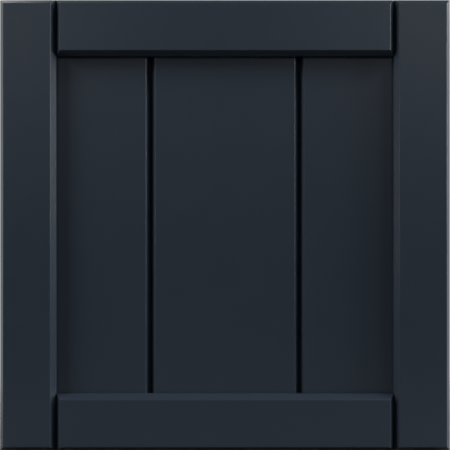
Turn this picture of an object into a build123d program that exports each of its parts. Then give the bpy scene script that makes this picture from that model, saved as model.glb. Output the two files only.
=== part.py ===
"""Framed board and batten shutter: three vertical tongue and groove boards, side by side, with a flat
frame of two stiles and two rails fixed over their edges and ends by screws driven from behind.

Millimetres. +X is to the right as seen from the front, +Z is up, and the front faces -Y. The origin is
the centre of the back face, which lies flat on the wall.
"""

import math
import os

from build123d import *

# Overall size
shutter_width = 409.6
shutter_height = 409.6
board_count = 3

# Thickness of the two layers
board_thickness = 12.7
frame_thickness = 12.7

# Frame over the boards
stile_width = 50.8
rail_width = 50.8
seam_chamfer = 0.6

# Steep chamfer of every front edge, which makes deep V joints where pieces meet
chamfer_width = 4.1
chamfer_depth = 7.1
joint_gap = 0.3

# Tongue and groove of the boards. The shares are of the thickness that is left behind the V joint
back_lip_share = 0.42
tongue_share = 0.45
tongue_length = 6.4
tongue_side_clearance = 0.15
tongue_end_clearance = 0.6
back_chamfer = 0.8

# Screws from behind, through the boards into the frame
screw_hole_radius = 2.2
screw_head_radius = 4.1
screw_head_angle = 82
pilot_radius = 1.5
pilot_cover = 4.0
screw_edge_distance = 20.0
stile_screw_count = 5

half_width = shutter_width / 2
half_height = shutter_height / 2
board_pitch = shutter_width / board_count
board_face_y = -board_thickness
front_y = board_face_y - frame_thickness
groove_end = tongue_length + tongue_end_clearance
joint_thickness = board_thickness - chamfer_depth
tongue_back = back_lip_share * joint_thickness
tongue_front = tongue_back + tongue_share * joint_thickness
rail_length = shutter_width - 2 * (stile_width + joint_gap)
pilot_depth = frame_thickness - pilot_cover

# The back face, seen from behind, and the plane where the frame lies on the boards
BACK_FACE = Plane(origin=(0, 0, 0), x_dir=(-1, 0, 0), z_dir=(0, 1, 0))
FRAME_SEAT = Plane(origin=(0, board_face_y, 0), x_dir=(-1, 0, 0), z_dir=(0, 1, 0))


def layer(left, right, nearer, farther):
    """Rectangle of a board's section from left to right, between two heights above the back face."""
    centre = Pos((left + right) / 2, -(nearer + farther) / 2)
    return centre * Rectangle(right - left, farther - nearer)


def board_section(left, right, left_edge, right_edge):
    """Section of one board. left and right are its cover lines, and each edge is plain, tongue or groove."""
    edges = ((left, -1, left_edge), (right, 1, right_edge))
    front_left = left if left_edge == "plain" else left + joint_gap / 2
    front_right = right if right_edge == "plain" else right - joint_gap / 2
    section = layer(left, right, 0, tongue_front)
    section += layer(front_left, front_right, tongue_front, board_thickness)
    for line, outward, edge in edges:
        if edge == "groove":
            end = line - outward * groove_end
            low = tongue_back - tongue_side_clearance
            high = tongue_front + tongue_side_clearance
            section -= layer(min(line, end), max(line, end), low, high)
    corners = section.vertices()
    for corner in corners:
        if abs(corner.Y - board_face_y) < 1e-6 and abs(corner.X) < half_width - 1e-6:
            inward = math.copysign(chamfer_width, (left + right) / 2 - corner.X)
            arris = (corner.X + inward, corner.Y)
            bottom = (corner.X, corner.Y + chamfer_depth)
            section -= make_face(Polyline((corner.X, corner.Y), arris, bottom, close=True))
    backs = [v for v in section.vertices() if abs(v.Y) < 1e-6]
    section = chamfer(backs, back_chamfer)
    for line, outward, edge in edges:
        if edge == "tongue":
            tip = line + outward * tongue_length
            section += layer(min(line, tip), max(line, tip), tongue_back, tongue_front)
    return section


def screw_points():
    """Every screw as (x, z, index of its board, name of the frame piece that it holds)."""
    points = []
    rail_reach = rail_length / 2
    for index in range(board_count):
        left = max(-half_width + index * board_pitch, -rail_reach)
        right = min(-half_width + (index + 1) * board_pitch, rail_reach)
        for x in (left + screw_edge_distance, right - screw_edge_distance):
            for side, piece in ((1, "top_rail"), (-1, "bottom_rail")):
                points.append((x, side * (half_height - rail_width / 2), index, piece))
    reach = half_height - rail_width / 2
    for index, side, piece in ((0, -1, "left_stile"), (board_count - 1, 1, "right_stile")):
        for step in range(stile_screw_count):
            z = -reach + step * 2 * reach / (stile_screw_count - 1)
            points.append((side * (half_width - stile_width / 2), z, index, piece))
    return points


def board(index):
    """One board at its full height, with the countersunk screw holes through it."""
    left = -half_width + index * board_pitch
    right = left + board_pitch
    middle = board_count // 2
    left_edge = "plain" if index == 0 else "tongue" if index <= middle else "groove"
    right_edge = "plain" if index == board_count - 1 else "tongue" if index >= middle else "groove"
    solid = extrude(board_section(left, right, left_edge, right_edge), half_height, both=True)
    hole = CounterSinkHole(screw_hole_radius, screw_head_radius, board_thickness, screw_head_angle)
    for x, z, owner, _ in screw_points():
        if owner == index:
            solid -= BACK_FACE * Pos(-x, z) * hole
    return solid


def frame_bar(name, width, height, centre_x, centre_z, outer_sides):
    """A stile or rail: a flat bar with chamfered front edges and with pilot holes in its back.

    Each side is (x, z), pointing outward. The outer sides of the shutter have an eased back edge too.
    """
    bar = Pos(centre_x, board_face_y - frame_thickness / 2, centre_z) * Box(width, frame_thickness, height)
    waste_length = 2 * max(width, height)
    waste = Pos(0, 0, frame_thickness) * Box(waste_length, waste_length, 2 * frame_thickness)
    for x, z in ((1, 0), (-1, 0), (0, 1), (0, -1)):
        if (x, z) in outer_sides:
            back_edges = bar.faces().sort_by(Axis.Y)[-1].edges()
            bar = chamfer(back_edges.sort_by(Axis((0, 0, 0), (x, 0, z)))[-1], seam_chamfer)
        arris_x = centre_x + x * (width / 2 - chamfer_width)
        arris_z = centre_z + z * (height / 2 - chamfer_width)
        outward = (x * chamfer_depth, -chamfer_width, z * chamfer_depth)
        bar -= Plane(origin=(arris_x, front_y, arris_z), x_dir=(z, 0, -x), z_dir=outward) * waste
    pilot = Pos(0, 0, -pilot_depth / 2) * Cylinder(pilot_radius, pilot_depth)
    for x, z, _, piece in screw_points():
        if piece == name:
            bar -= FRAME_SEAT * Pos(-x, z) * pilot
    return bar


def stile(name, side):
    """A full-height stile. side is -1 on the left and 1 on the right."""
    centre_x = side * (half_width - stile_width / 2)
    return frame_bar(name, stile_width, shutter_height, centre_x, 0, [(side, 0), (0, 1), (0, -1)])


def rail(name, side):
    """A rail between the stiles. side is 1 at the top and -1 at the bottom."""
    centre_z = side * (half_height - rail_width / 2)
    return frame_bar(name, rail_length, rail_width, 0, centre_z, [(0, side)])


def board_name(index):
    """left_board and right_board at the ends, and the boards between them counted if there are several."""
    if index == 0:
        return "left_board"
    if index == board_count - 1:
        return "right_board"
    return "centre_board" if board_count == 3 else f"centre_board_{index}"


parts = {board_name(index): board(index) for index in range(board_count)}
parts["left_stile"] = stile("left_stile", -1)
parts["right_stile"] = stile("right_stile", 1)
parts["top_rail"] = rail("top_rail", 1)
parts["bottom_rail"] = rail("bottom_rail", -1)

os.makedirs("parts", exist_ok=True)
for name, shape in parts.items():
    export_step(shape, f"parts/{name}.step")
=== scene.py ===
"""Looks of the framed board and batten shutter: dark blue grey satin paint, screws behind, and a studio."""

import math

import bmesh
import bpy
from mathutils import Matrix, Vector


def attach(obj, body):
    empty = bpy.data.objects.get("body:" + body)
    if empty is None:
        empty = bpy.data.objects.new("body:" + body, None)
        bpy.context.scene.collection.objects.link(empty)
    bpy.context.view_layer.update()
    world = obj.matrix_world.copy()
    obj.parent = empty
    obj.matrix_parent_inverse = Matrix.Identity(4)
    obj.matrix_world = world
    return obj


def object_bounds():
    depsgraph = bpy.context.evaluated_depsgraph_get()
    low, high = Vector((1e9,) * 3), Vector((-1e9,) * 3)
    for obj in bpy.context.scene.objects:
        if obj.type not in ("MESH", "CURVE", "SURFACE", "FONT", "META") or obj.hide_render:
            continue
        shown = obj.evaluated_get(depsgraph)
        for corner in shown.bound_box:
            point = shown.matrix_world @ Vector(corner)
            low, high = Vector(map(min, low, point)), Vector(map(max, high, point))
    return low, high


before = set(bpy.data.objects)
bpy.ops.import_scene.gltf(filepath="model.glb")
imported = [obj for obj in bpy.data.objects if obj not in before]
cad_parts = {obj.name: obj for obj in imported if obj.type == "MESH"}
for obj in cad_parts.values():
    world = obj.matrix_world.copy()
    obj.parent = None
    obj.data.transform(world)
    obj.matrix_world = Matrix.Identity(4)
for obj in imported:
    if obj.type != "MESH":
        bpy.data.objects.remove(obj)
cad_low, cad_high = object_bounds()

MM = 0.001

# Camera, square on to the front. The distance is from the front face
CAMERA_DISTANCE = 0.904
CAMERA_LENS = 80
SENSOR_WIDTH = 36
CAMERA_CLIP = 0.01

# Paint, as linear colour, with the share by which its tone varies and the range of its roughness
PAINT_COLOR = (0.0184, 0.0262, 0.0381)
PAINT_VARIATION = 0.035
PAINT_SPECULAR = 0.25
FRAME_ROUGHNESS = 0.36
BOARD_ROUGHNESS = 0.38
ROUGHNESS_VARIATION = 0.02
PEEL_STRENGTH = 0.12
PEEL_HEIGHT = 0.05 * MM

# Scale of each noise pattern, in cycles per metre
CLOUD_SCALE = 9
GLOSS_SCALE = 45
PEEL_SCALE = 520
GRAIN_SCALE = 900

# How far each node's pattern is moved from the last one's
PATTERN_STEP = (1.7, 0.9, 2.3)

# How far the paint rounds the long front arrises and the other edges, which angles count as flat and as
# edges, and how near the front face and each other corners are taken as one
ARRIS_ROUNDING = 0.4 * MM
ARRIS_SEGMENTS = 4
EDGE_ROUNDING = 0.2 * MM
EDGE_SEGMENTS = 2
FLAT_ANGLE = math.radians(0.5)
EDGE_ANGLE = math.radians(32)
FACE_REACH = 0.1 * MM
WELD_REACH = 0.001 * MM

# Stainless steel of the screws, at the darkest and the lightest of its grain
STEEL_DARK = (0.21, 0.21, 0.205)
STEEL_LIGHT = (0.28, 0.28, 0.273)
STEEL_ROUGHNESS = (0.36, 0.48)

# Screws in the back, which fit the countersunk holes of the boards. Depths are below the back face, and
# the shank's end and the core's start are that far short of the boards' front
HEAD_RADIUS = 3.8 * MM
HEAD_DEPTH = 0.3 * MM
HEAD_ANGLE = math.radians(82)
HEAD_EDGE = 0.08 * MM
SHANK_RADIUS = 1.9 * MM
CORE_RADIUS = 1.42 * MM
BOARD_COUNT = 3
BOARD_THICKNESS = 12.7 * MM
SCREW_REACH = 21.0 * MM
RECESS_RADIUS = 1.75 * MM
RECESS_LOBE = 0.15
RECESS_LOBES = 6
RECESS_DEPTH = 1.9 * MM
RECESS_TAPER = 0.94
RECESS_TIP = 0.25
RECESS_TIP_DEPTH = 0.15 * MM
SHANK_END = 0.6 * MM
CORE_START = 0.1 * MM
POINT_LENGTH = 2.0 * MM
POINT_TIP = 0.1
SCREW_TURN = 2.4
SCREW_SHARP_ANGLE = math.radians(35)
SCREW_SIDES = 48
SCREW_EDGE_DISTANCE = 20.0 * MM
STILE_SCREW_COUNT = 5

# Light. Each softbox stands on a sphere around the object, by azimuth from the front and by elevation.
# For gloss the room turns pale toward the back and dark toward the ceiling, by the direction's Y and Z
SOFTBOX_DISTANCE = 1.8
AMBIENT_STRENGTH = 0.01
BACKGROUND_COLOR = (0.93, 0.93, 0.93)
DARK_SIDE = 0.02
ROOM_START = 0.1
ROOM_END = 0.5
CEILING_START = 0.2
CEILING_END = 0.6

# Floor, a disc that fades out toward its rim, and that lights the object less than its colour would
FLOOR_RADIUS = 0.6
FLOOR_FADE_START = 0.28
FLOOR_SIDES = 96
FLOOR_COLOR = (0.34, 0.34, 0.338)
FLOOR_BOUNCE = (0.06, 0.06, 0.06)

# Colour sockets of the mix node, by number because its other sockets share their names
MIX_FIRST, MIX_SECOND, MIX_RESULT = 6, 7, 2


class Nodes:
    """Adds nodes to a tree and links them by the names or numbers of their sockets."""

    def __init__(self, tree):
        self.tree = tree
        tree.nodes.clear()

    def add(self, kind, **settings):
        node = self.tree.nodes.new(kind)
        for name, value in settings.items():
            setattr(node, name, value)
        return node

    def link(self, source, output, target, entry):
        self.tree.links.new(source.outputs[output], target.inputs[entry])


def new_material(name):
    material = bpy.data.materials.new(name)
    material.use_nodes = True
    return material, Nodes(material.node_tree)


def own_place(nodes, offset=(0, 0, 0)):
    """The object's own coordinates in metres, moved so that no two pieces share a pattern."""
    place = nodes.add("ShaderNodeTexCoord")
    shifted = nodes.add("ShaderNodeMapping")
    shifted.inputs["Location"].default_value = offset
    nodes.link(place, "Object", shifted, "Vector")
    return shifted


def noise(nodes, place, scale, detail):
    node = nodes.add("ShaderNodeTexNoise")
    node.inputs["Scale"].default_value = scale
    node.inputs["Detail"].default_value = detail
    nodes.link(place, "Vector", node, "Vector")
    return node


def remap(nodes, source, output, low, high, start=0.3, end=0.7):
    """Spreads a value between start and end over low to high."""
    node = nodes.add("ShaderNodeMapRange")
    node.inputs["From Min"].default_value = start
    node.inputs["From Max"].default_value = end
    node.inputs["To Min"].default_value = low
    node.inputs["To Max"].default_value = high
    nodes.link(source, output, node, "Value")
    return node


def blend(nodes, factor, output, first, second):
    """A colour between two, by a node's value."""
    node = nodes.add("ShaderNodeMix", data_type="RGBA")
    node.inputs[MIX_FIRST].default_value = (*first, 1)
    node.inputs[MIX_SECOND].default_value = (*second, 1)
    nodes.link(factor, output, node, "Factor")
    return node


def shaded(nodes):
    shader = nodes.add("ShaderNodeBsdfPrincipled")
    out = nodes.add("ShaderNodeOutputMaterial")
    nodes.link(shader, "BSDF", out, "Surface")
    return shader


def paint(name, offset, roughness):
    """Sprayed satin paint: a little colour and gloss variation, and a fine orange peel."""
    material, nodes = new_material(name)
    shader = shaded(nodes)
    shader.inputs["Specular IOR Level"].default_value = PAINT_SPECULAR
    place = own_place(nodes, offset)

    cloud = noise(nodes, place, CLOUD_SCALE, 3)
    darker = [c * (1 - PAINT_VARIATION) for c in PAINT_COLOR]
    lighter = [c * (1 + PAINT_VARIATION) for c in PAINT_COLOR]
    tone = blend(nodes, cloud, "Fac", darker, lighter)
    nodes.link(tone, MIX_RESULT, shader, "Base Color")

    gloss = noise(nodes, place, GLOSS_SCALE, 2)
    rough = remap(nodes, gloss, "Fac", roughness - ROUGHNESS_VARIATION, roughness + ROUGHNESS_VARIATION)
    nodes.link(rough, "Result", shader, "Roughness")

    peel = noise(nodes, place, PEEL_SCALE, 2)
    bump = nodes.add("ShaderNodeBump")
    bump.inputs["Strength"].default_value = PEEL_STRENGTH
    bump.inputs["Distance"].default_value = PEEL_HEIGHT
    nodes.link(peel, "Fac", bump, "Height")
    nodes.link(bump, "Normal", shader, "Normal")
    return material


def steel(name):
    """Plain stainless steel with a faint grain."""
    material, nodes = new_material(name)
    shader = shaded(nodes)
    shader.inputs["Metallic"].default_value = 1.0
    grain = noise(nodes, own_place(nodes), GRAIN_SCALE, 3)
    tone = blend(nodes, grain, "Fac", STEEL_DARK, STEEL_LIGHT)
    nodes.link(tone, MIX_RESULT, shader, "Base Color")
    rough = remap(nodes, grain, "Fac", *STEEL_ROUGHNESS)
    nodes.link(rough, "Result", shader, "Roughness")
    return material


def name_front_arrises(piece):
    """Puts the corners of the front face in a group, without the screw holes that a board has there."""
    spots = [vertex.co for vertex in piece.data.vertices]
    front = min(spot.y for spot in spots) + FACE_REACH
    across = [spot.x for spot in spots if spot.y < front]
    left, right = min(across) + FACE_REACH, max(across) - FACE_REACH
    corners = [index for index, spot in enumerate(spots) if spot.y < front and not left < spot.x < right]
    piece.vertex_groups.new(name="front_arris").add(corners, 1, "REPLACE")


def round_edges(piece, name, width, segments):
    bevel = piece.modifiers.new(name, "BEVEL")
    bevel.width = width
    bevel.segments = segments
    bevel.harden_normals = True
    return bevel


def finish_node(name, offset):
    """Paints a CAD node and softens its arrises a little, as paint does."""
    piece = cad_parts[name]
    roughness = BOARD_ROUGHNESS if name.endswith("board") else FRAME_ROUGHNESS
    piece.data.materials.clear()
    piece.data.materials.append(paint(f"satin_paint_{name}", offset, roughness))
    weld = piece.modifiers.new("weld", "WELD")
    weld.merge_threshold = WELD_REACH
    flat = piece.modifiers.new("whole_faces", "DECIMATE")
    flat.decimate_type = "DISSOLVE"
    flat.angle_limit = FLAT_ANGLE
    name_front_arrises(piece)
    soft = round_edges(piece, "soft_front_arris", ARRIS_ROUNDING, ARRIS_SEGMENTS)
    soft.limit_method = "VGROUP"
    soft.vertex_group = "front_arris"
    fine = round_edges(piece, "fine_edges", EDGE_ROUNDING, EDGE_SEGMENTS)
    fine.limit_method = "ANGLE"
    fine.angle_limit = EDGE_ANGLE


for index, node_name in enumerate(sorted(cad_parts)):
    finish_node(node_name, [step * index for step in PATTERN_STEP])


def node_box(name):
    """Lowest and highest corner of a CAD node."""
    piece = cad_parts[name]
    corners = [piece.matrix_world @ Vector(corner) for corner in piece.bound_box]
    low = Vector([min(c[axis] for c in corners) for axis in range(3)])
    high = Vector([max(c[axis] for c in corners) for axis in range(3)])
    return low, high


def screw_rings():
    """The screw's outline from the middle of its recess out to the tip, as (radius, lobe, depth)."""
    cone = math.tan(HEAD_ANGLE / 2)
    shank_start = HEAD_DEPTH + HEAD_EDGE + (HEAD_RADIUS - SHANK_RADIUS) / cone
    return [
        (RECESS_TIP * RECESS_RADIUS, 0, HEAD_DEPTH + RECESS_DEPTH + RECESS_TIP_DEPTH),
        (RECESS_TAPER * RECESS_RADIUS, RECESS_LOBE, HEAD_DEPTH + RECESS_DEPTH),
        (RECESS_RADIUS, RECESS_LOBE, HEAD_DEPTH + HEAD_EDGE),
        (RECESS_RADIUS + HEAD_EDGE, RECESS_LOBE, HEAD_DEPTH),
        (HEAD_RADIUS - HEAD_EDGE, 0, HEAD_DEPTH),
        (HEAD_RADIUS, 0, HEAD_DEPTH + HEAD_EDGE),
        (SHANK_RADIUS, 0, shank_start),
        (SHANK_RADIUS, 0, BOARD_THICKNESS - SHANK_END),
        (CORE_RADIUS, 0, BOARD_THICKNESS - CORE_START),
        (CORE_RADIUS, 0, SCREW_REACH - POINT_LENGTH),
        (POINT_TIP * CORE_RADIUS, 0, SCREW_REACH),
    ]


def add_screw(shape, x, z, turn):
    """Adds one screw to the shape, driven from the back face toward the front."""
    rings = []
    for radius, lobe, depth in screw_rings():
        ring = []
        for side in range(SCREW_SIDES):
            angle = 2 * math.pi * side / SCREW_SIDES
            reach = radius * (1 + lobe * math.cos(RECESS_LOBES * angle))
            across, up = math.cos(angle + turn), math.sin(angle + turn)
            ring.append(shape.verts.new((x + reach * across, cad_high.y - depth, z + reach * up)))
        rings.append(ring)
    for first, second in zip(rings, rings[1:]):
        for side in range(SCREW_SIDES):
            after = (side + 1) % SCREW_SIDES
            shape.faces.new((first[side], first[after], second[after], second[side]))
    shape.faces.new(rings[0])
    shape.faces.new(rings[-1])


def screws(name, places, material):
    """One piece for all the screws that hold a frame piece."""
    shape = bmesh.new()
    for index, (x, z) in enumerate(places):
        add_screw(shape, x, z, SCREW_TURN * index)
    bmesh.ops.recalc_face_normals(shape, faces=shape.faces)
    mesh = bpy.data.meshes.new(name)
    shape.to_mesh(mesh)
    shape.free()
    mesh.shade_smooth()
    mesh.set_sharp_from_angle(angle=SCREW_SHARP_ANGLE)
    mesh.materials.append(material)
    piece = bpy.data.objects.new(name, mesh)
    bpy.context.scene.collection.objects.link(piece)
    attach(piece, "root")


def stile_screw_places(name):
    """A row up the middle of a stile, from the middle of one rail's height to the other's."""
    low, high = node_box(name)
    _, rail_high = node_box("bottom_rail")
    bottom = (low.z + rail_high.z) / 2
    step = -2 * bottom / (STILE_SCREW_COUNT - 1)
    return [((low.x + high.x) / 2, bottom + step * index) for index in range(STILE_SCREW_COUNT)]


def rail_screw_places(name):
    """Two screws for each board that the rail crosses, in from its edges or from the rail's end."""
    low, high = node_box(name)
    pitch = (cad_high.x - cad_low.x) / BOARD_COUNT
    places = []
    for index in range(BOARD_COUNT):
        left = max(cad_low.x + pitch * index, low.x) + SCREW_EDGE_DISTANCE
        right = min(cad_low.x + pitch * (index + 1), high.x) - SCREW_EDGE_DISTANCE
        places += [(left, (low.z + high.z) / 2), (right, (low.z + high.z) / 2)]
    return places


screw_steel = steel("stainless_steel")
for stile_name in ("left_stile", "right_stile"):
    screws(f"{stile_name}_screws", stile_screw_places(stile_name), screw_steel)
for rail_name in ("top_rail", "bottom_rail"):
    screws(f"{rail_name}_screws", rail_screw_places(rail_name), screw_steel)


def softbox(name, azimuth, elevation, width, height, power):
    """A soft lamp that faces the object. Azimuth is to the right of the front, in degrees."""
    data = bpy.data.lights.new(name, "AREA")
    data.shape = "RECTANGLE"
    data.size = width
    data.size_y = height
    data.energy = power
    lamp = bpy.data.objects.new(name, data)
    bpy.context.scene.collection.objects.link(lamp)
    turn, rise = math.radians(azimuth), math.radians(elevation)
    level = SOFTBOX_DISTANCE * math.cos(rise)
    lamp.location = (level * math.sin(turn), -level * math.cos(turn), SOFTBOX_DISTANCE * math.sin(rise))
    lamp.rotation_euler = (-lamp.location).to_track_quat("-Z", "Y").to_euler()


softbox("left_softbox", -60, 33, 0.5, 0.5, 21)
softbox("right_softbox", 60, 50, 0.5, 0.5, 18)
softbox("left_low_softbox", -75, 4, 0.5, 0.3, 8)
softbox("right_low_softbox", 78, 8, 0.5, 0.3, 21)
softbox("right_side_softbox", 88, 25, 0.5, 0.5, 16)
softbox("left_front_softbox", -21, 20, 0.5, 0.5, 1.6)
softbox("right_front_softbox", 21, 20, 0.5, 0.5, 2.0)
softbox("back_softbox", 180, 28, 1.8, 0.5, 26)
softbox("back_left_softbox", -142, 38, 0.6, 0.6, 10)
softbox("back_right_softbox", 125, 30, 0.6, 0.6, 8)


def studio_world():
    """A quiet world, pale to the eye and to gloss, but dark overhead and where the camera stands."""
    world = bpy.data.worlds.new("studio")
    bpy.context.scene.world = world
    world.use_nodes = True
    nodes = Nodes(world.node_tree)

    quiet = nodes.add("ShaderNodeBackground")
    quiet.inputs["Color"].default_value = (1, 1, 1, 1)
    quiet.inputs["Strength"].default_value = AMBIENT_STRENGTH

    pale = nodes.add("ShaderNodeBackground")
    pale.inputs["Color"].default_value = (*BACKGROUND_COLOR, 1)

    way = nodes.add("ShaderNodeTexCoord")
    parts = nodes.add("ShaderNodeSeparateXYZ")
    nodes.link(way, "Generated", parts, "Vector")
    fade = nodes.add("ShaderNodeMapRange", interpolation_type="SMOOTHSTEP")
    fade.inputs["From Min"].default_value = ROOM_START
    fade.inputs["From Max"].default_value = ROOM_END
    nodes.link(parts, "Y", fade, "Value")
    wall = nodes.add("ShaderNodeMapRange", interpolation_type="SMOOTHSTEP")
    wall.inputs["From Min"].default_value = CEILING_END
    wall.inputs["From Max"].default_value = CEILING_START
    nodes.link(parts, "Z", wall, "Value")
    seen = nodes.add("ShaderNodeMath", operation="MULTIPLY")
    nodes.link(fade, "Result", seen, 0)
    nodes.link(wall, "Result", seen, 1)
    dark = [DARK_SIDE] * 3
    room_tone = blend(nodes, seen, "Value", dark, BACKGROUND_COLOR)
    room = nodes.add("ShaderNodeBackground")
    nodes.link(room_tone, MIX_RESULT, room, "Color")

    paths = nodes.add("ShaderNodeLightPath")
    straight = nodes.add("ShaderNodeMath", operation="MAXIMUM")
    nodes.link(paths, "Is Camera Ray", straight, 0)
    nodes.link(paths, "Is Transmission Ray", straight, 1)
    with_gloss = nodes.add("ShaderNodeMixShader")
    nodes.link(paths, "Is Glossy Ray", with_gloss, "Fac")
    nodes.link(quiet, "Background", with_gloss, 1)
    nodes.link(room, "Background", with_gloss, 2)
    whole = nodes.add("ShaderNodeMixShader")
    nodes.link(straight, "Value", whole, "Fac")
    nodes.link(with_gloss, "Shader", whole, 1)
    nodes.link(pale, "Background", whole, 2)
    out = nodes.add("ShaderNodeOutputWorld")
    nodes.link(whole, "Shader", out, "Surface")


studio_world()


def pale_floor():
    """A round pale floor that fades into the background, and that throws little light back up."""
    shape = bmesh.new()
    bmesh.ops.create_circle(shape, cap_ends=True, segments=FLOOR_SIDES, radius=FLOOR_RADIUS)
    mesh = bpy.data.meshes.new("floor")
    shape.to_mesh(mesh)
    shape.free()
    floor = bpy.data.objects.new("floor", mesh)
    floor.location = (0, 0, cad_low.z)
    bpy.context.scene.collection.objects.link(floor)

    material, nodes = new_material("pale_floor")
    paths = nodes.add("ShaderNodeLightPath")
    tone = blend(nodes, paths, "Is Diffuse Ray", FLOOR_COLOR, FLOOR_BOUNCE)
    matte = nodes.add("ShaderNodeBsdfDiffuse")
    nodes.link(tone, MIX_RESULT, matte, "Color")
    clear = nodes.add("ShaderNodeBsdfTransparent")
    place = nodes.add("ShaderNodeTexCoord")
    reach = nodes.add("ShaderNodeVectorMath", operation="LENGTH")
    nodes.link(place, "Object", reach, 0)
    fade = nodes.add("ShaderNodeMapRange", interpolation_type="SMOOTHSTEP")
    fade.inputs["From Min"].default_value = FLOOR_FADE_START
    fade.inputs["From Max"].default_value = FLOOR_RADIUS
    nodes.link(reach, "Value", fade, "Value")
    whole = nodes.add("ShaderNodeMixShader")
    nodes.link(fade, "Result", whole, "Fac")
    nodes.link(matte, "BSDF", whole, 1)
    nodes.link(clear, "BSDF", whole, 2)
    out = nodes.add("ShaderNodeOutputMaterial")
    nodes.link(whole, "Shader", out, "Surface")
    mesh.materials.append(material)


pale_floor()

camera_data = bpy.data.cameras.new("camera")
camera_data.lens = CAMERA_LENS
camera_data.sensor_width = SENSOR_WIDTH
camera_data.clip_start = CAMERA_CLIP
camera = bpy.data.objects.new("camera", camera_data)
bpy.context.scene.collection.objects.link(camera)
camera.location = (0, cad_low.y - CAMERA_DISTANCE, 0)
camera.rotation_euler = (math.radians(90), 0, 0)
bpy.context.scene.camera = camera
bpy.context.scene.view_settings.view_transform = "Standard"
